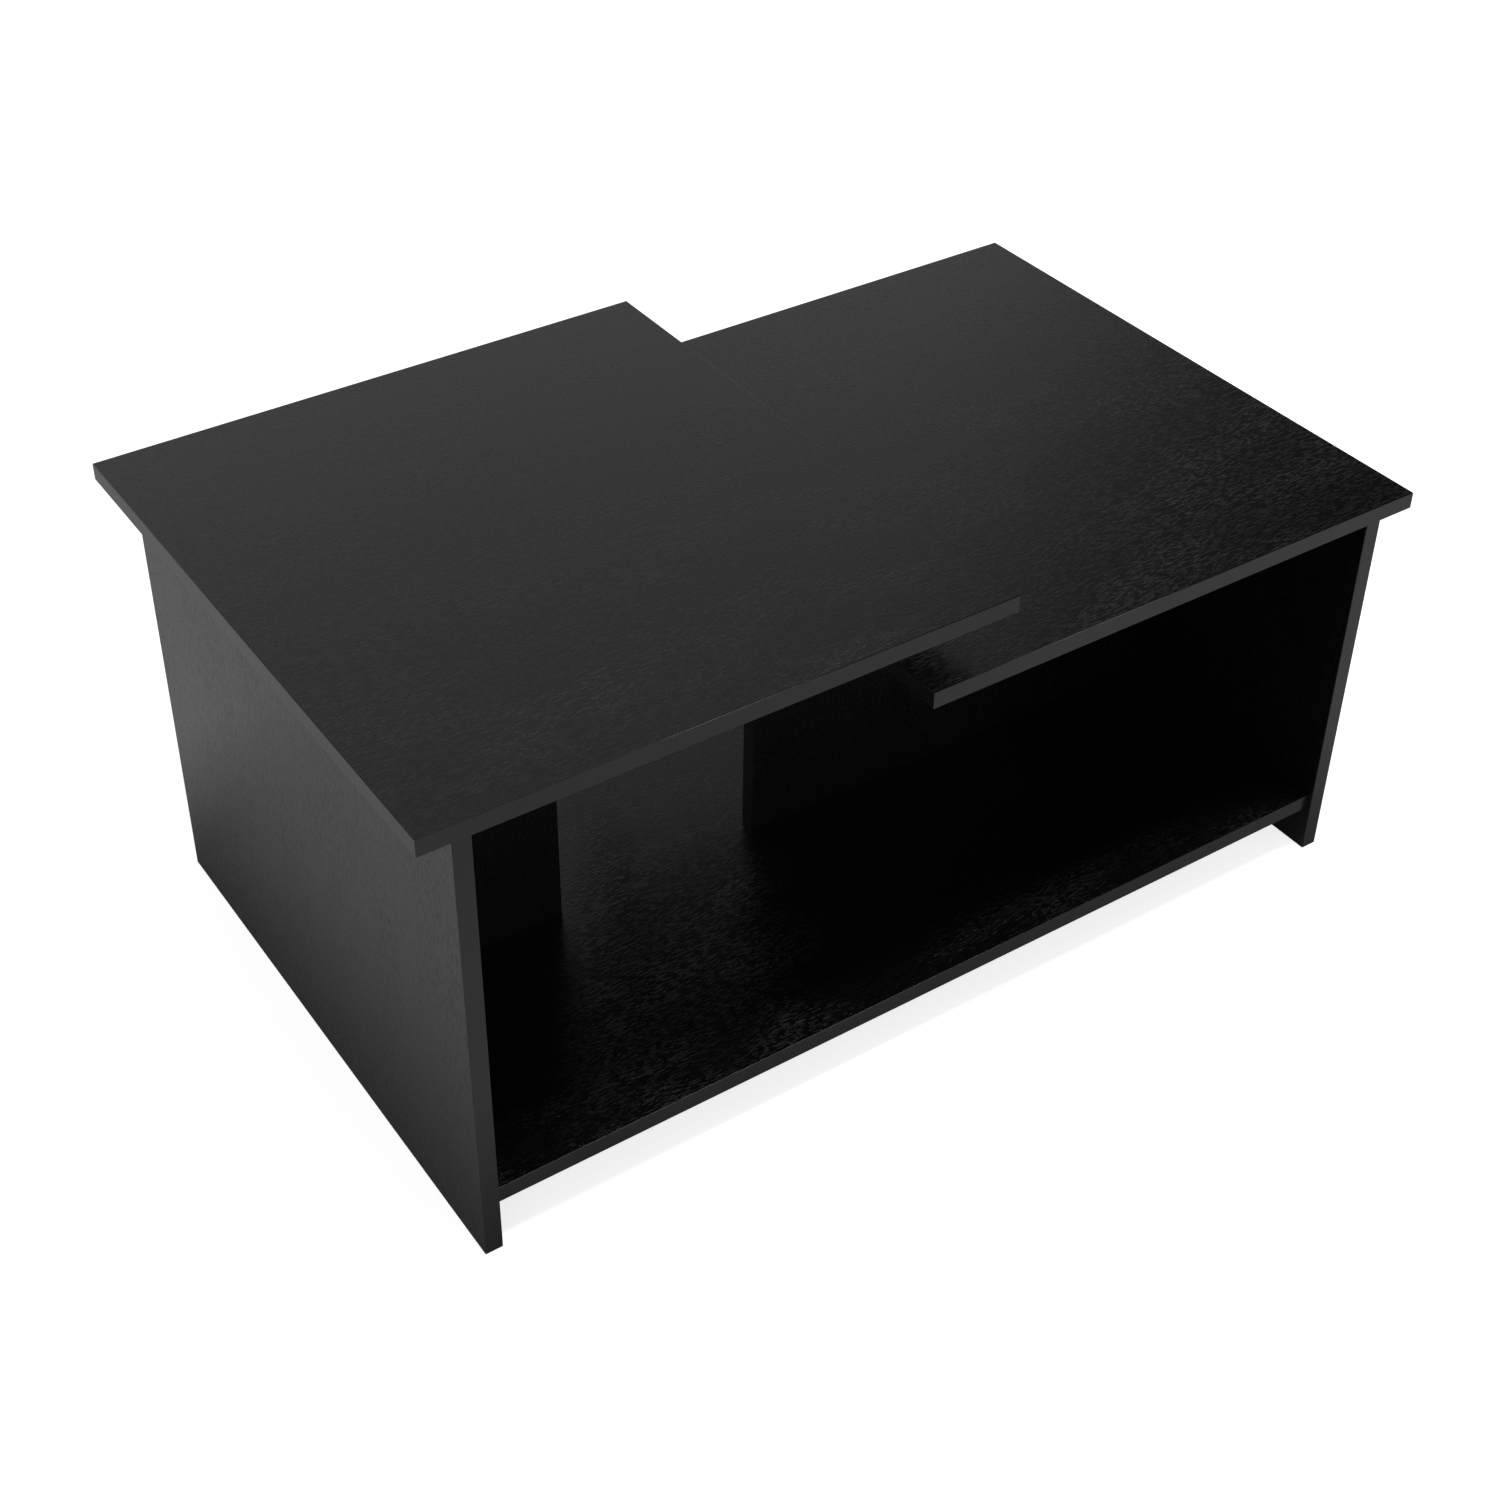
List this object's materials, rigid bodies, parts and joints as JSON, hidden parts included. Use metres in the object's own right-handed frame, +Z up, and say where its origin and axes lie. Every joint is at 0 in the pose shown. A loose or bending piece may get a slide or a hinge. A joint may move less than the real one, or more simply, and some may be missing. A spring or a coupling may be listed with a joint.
{
  "type": "lift top coffee table",
  "caption": "Black wood-grain coffee table with two overlapping tops at two heights; the higher one lifts forward on parallelogram arms. Open front and back, a low shelf and middle panels.",
  "frame": {"origin": "on the floor, under the centre of the whole table's box", "axes": "+X along the table from the lifting top to the fixed top, +Y from the open front, where the top comes forward, to the back, +Z up"},
  "size_m": [0.912, 0.54, 0.424],
  "materials": {
    "black_woodgrain_board": "black melamine with an embossed wood grain, satin",
    "black_edge_band": "satin black edge banding",
    "cast_zinc": "raw die casting",
    "zinc_plated_steel": "bright zinc plating",
    "screw_steel": "zinc plating",
    "beech": "plain",
    "black_coated_steel": "satin powder coat",
    "nylon": "natural nylon",
    "clear_bumper": "soft, translucent",
    "spring_steel": "oiled"
  },
  "bodies": {
    "root": {"left_side_panel": "black_woodgrain_board", "right_side_panel": "black_woodgrain_board", "bottom_shelf": "black_woodgrain_board", "left_mid_panel": "black_woodgrain_board", "right_mid_panel": "black_woodgrain_board", "fixed_top_panel": "black_woodgrain_board", "lift_rail": "black_woodgrain_board", "left_side_edge_band": "black_edge_band", "right_side_edge_band": "black_edge_band", "shelf_edge_band": "black_edge_band", "left_mid_edge_band": "black_edge_band", "right_mid_edge_band": "black_edge_band", "fixed_top_edge_band": "black_edge_band", "lift_rail_edge_band": "black_edge_band", "shelf_cam_locks": "cast_zinc", "shelf_cam_bolts": "zinc_plated_steel", "shelf_dowels": "beech", "fixed_top_cam_locks": "cast_zinc", "fixed_top_cam_bolts": "zinc_plated_steel", "fixed_top_dowels": "beech", "mid_panel_cam_locks": "cast_zinc", "mid_panel_cam_bolts": "zinc_plated_steel", "mid_panel_dowels": "beech", "lift_rail_cam_locks": "cast_zinc", "lift_rail_cam_bolts": "zinc_plated_steel", "lift_rail_dowel": "beech", "lift_base_plate_left": "black_coated_steel", "lift_base_plate_right": "black_coated_steel", "base_plate_screws": "screw_steel", "arm_bushes": "nylon", "arm_pivot_pins": "zinc_plated_steel", "arm_stop_studs": "zinc_plated_steel", "spring_anchor_studs": "zinc_plated_steel", "top_bumpers": "clear_bumper"},
    "rear_arms": {"rear_arm_left": "black_coated_steel", "rear_arm_right": "black_coated_steel", "sync_bar": "black_coated_steel", "sync_bar_screws": "screw_steel", "spring_arm_studs": "zinc_plated_steel"},
    "front_arm_left": {"front_arm_left": "black_coated_steel"},
    "front_arm_right": {"front_arm_right": "black_coated_steel"},
    "lift_top": {"lift_top_panel": "black_woodgrain_board", "lift_top_edge_band": "black_edge_band", "top_bracket_left": "black_coated_steel", "top_bracket_right": "black_coated_steel", "top_pivot_pins": "zinc_plated_steel", "bracket_screws": "screw_steel"},
    "lift_spring_left": {"lift_spring_left": "spring_steel"},
    "lift_spring_right": {"lift_spring_right": "spring_steel"}
  },
  "joints": [
    {"name": "lift", "type": "hinge", "parent": "root", "child": "rear_arms", "pos_m": [-0.22025, 0.08, 0.302], "axis": [1, 0, 0], "range_deg": [0, 100], "deforming": ["lift_spring_left", "lift_spring_right"]},
    {"name": "front_arm_left_pivot", "type": "hinge", "parent": "root", "child": "front_arm_left", "pos_m": [-0.3975, 0.025, 0.33], "axis": [1, 0, 0], "range_deg": [0, 100]},
    {"name": "front_arm_right_pivot", "type": "hinge", "parent": "root", "child": "front_arm_right", "pos_m": [-0.043, 0.025, 0.33], "axis": [1, 0, 0], "range_deg": [0, 100]},
    {"name": "top_pivot", "type": "hinge", "parent": "rear_arms", "child": "lift_top", "pos_m": [-0.22025, 0.2441, 0.31925], "axis": [1, 0, 0], "range_deg": [-100, 0]},
    {"name": "spring_left_swing", "type": "hinge", "parent": "root", "child": "lift_spring_left", "pos_m": [-0.388, -0.002, 0.34], "axis": [1, 0, 0], "range_deg": [0, 19.1]},
    {"name": "spring_right_swing", "type": "hinge", "parent": "root", "child": "lift_spring_right", "pos_m": [-0.0525, -0.002, 0.34], "axis": [1, 0, 0], "range_deg": [0, 19.1]}
  ],
  "couplings": [
    {"joint": "front_arm_left_pivot", "follows": "lift", "ratio": 1},
    {"joint": "front_arm_right_pivot", "follows": "lift", "ratio": 1},
    {"joint": "top_pivot", "follows": "lift", "ratio": -1},
    {"joint": "spring_left_swing", "follows": "lift", "ratio": 0.19038},
    {"joint": "spring_right_swing", "follows": "lift", "ratio": 0.19038}
  ]
}
